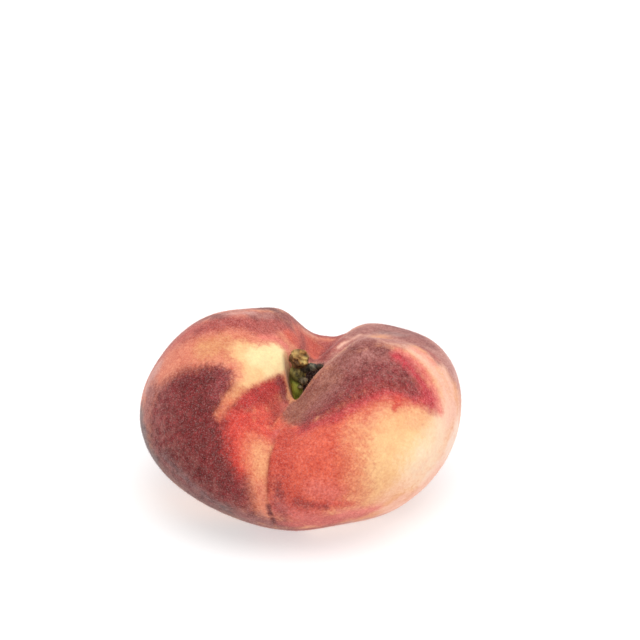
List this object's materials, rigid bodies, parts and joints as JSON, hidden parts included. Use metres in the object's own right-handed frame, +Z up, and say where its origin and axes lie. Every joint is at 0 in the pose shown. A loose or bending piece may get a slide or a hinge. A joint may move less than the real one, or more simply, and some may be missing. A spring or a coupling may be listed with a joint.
{
  "type": "flat peach",
  "caption": "Flat peach lying on its base, with a deep suture, a raised rim round the stem pit and a short woody stem stub, for still lifes and grasping.",
  "frame": {"origin": "middle of the resting fruit's box, on the surface that it lies on", "axes": "+Z up out of the stem pit, the suture towards -Y, +X to the right as seen from the suture's side"},
  "size_m": [0.0714, 0.0654, 0.0418],
  "materials": {
    "skin": "soft downy peach skin, red and plum over yellow",
    "stem": "rough brown and olive bark, green at the foot"
  },
  "bodies": {
    "root": {"fruit": "skin", "stem": "stem"}
  },
  "joints": []
}
